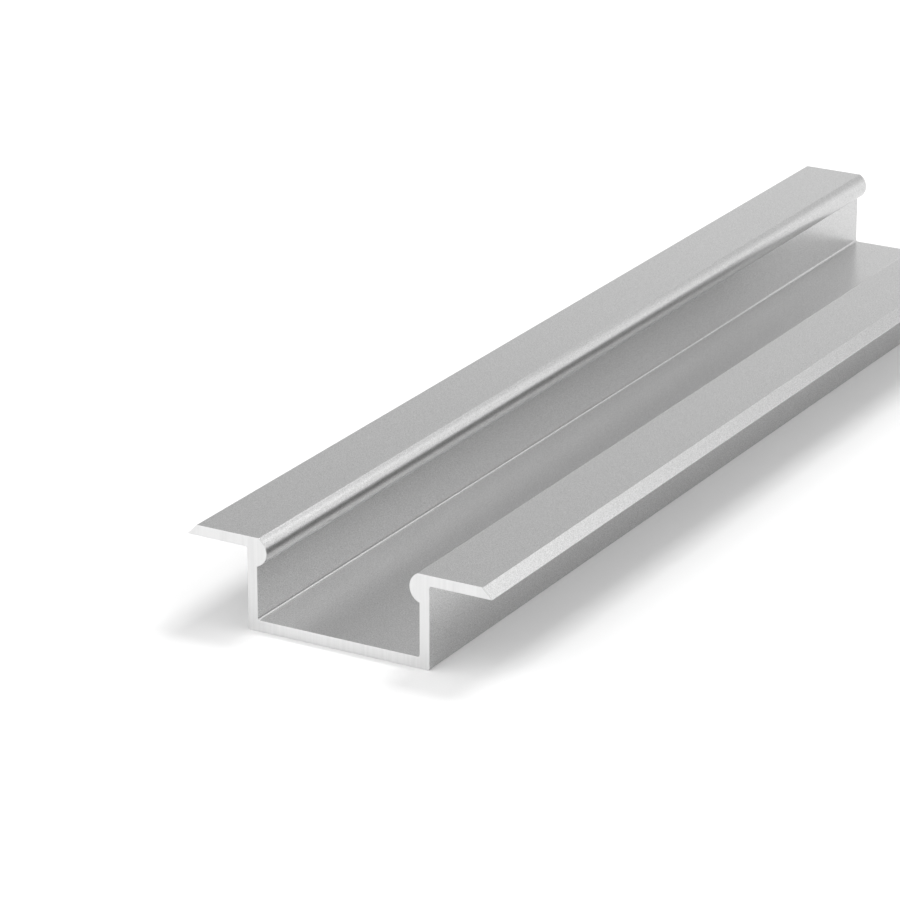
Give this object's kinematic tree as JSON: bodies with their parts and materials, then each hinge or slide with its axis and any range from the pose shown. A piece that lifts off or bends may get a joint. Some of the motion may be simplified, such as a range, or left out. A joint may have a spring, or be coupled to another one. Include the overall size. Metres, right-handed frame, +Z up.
{
  "type": "led strip aluminium profile",
  "caption": "Straight recessed channel profile for an LED strip, with a bevelled flange along each side and a rounded snap bead inside each wall for a push-in diffuser.",
  "frame": {"origin": "centre of the base's underside, at mid-width and mid-length", "axes": "+Z up, from the base to the flanges; +Y along the length, away from the near sawn end; +X across, to the right flange"},
  "size_m": [0.0248, 0.1, 0.0071],
  "materials": {
    "anodised_aluminium": "satin silver anodised skin with a fine matt grain, bare saw-cut ends"
  },
  "bodies": {
    "root": {"profile": "anodised_aluminium"}
  },
  "joints": []
}
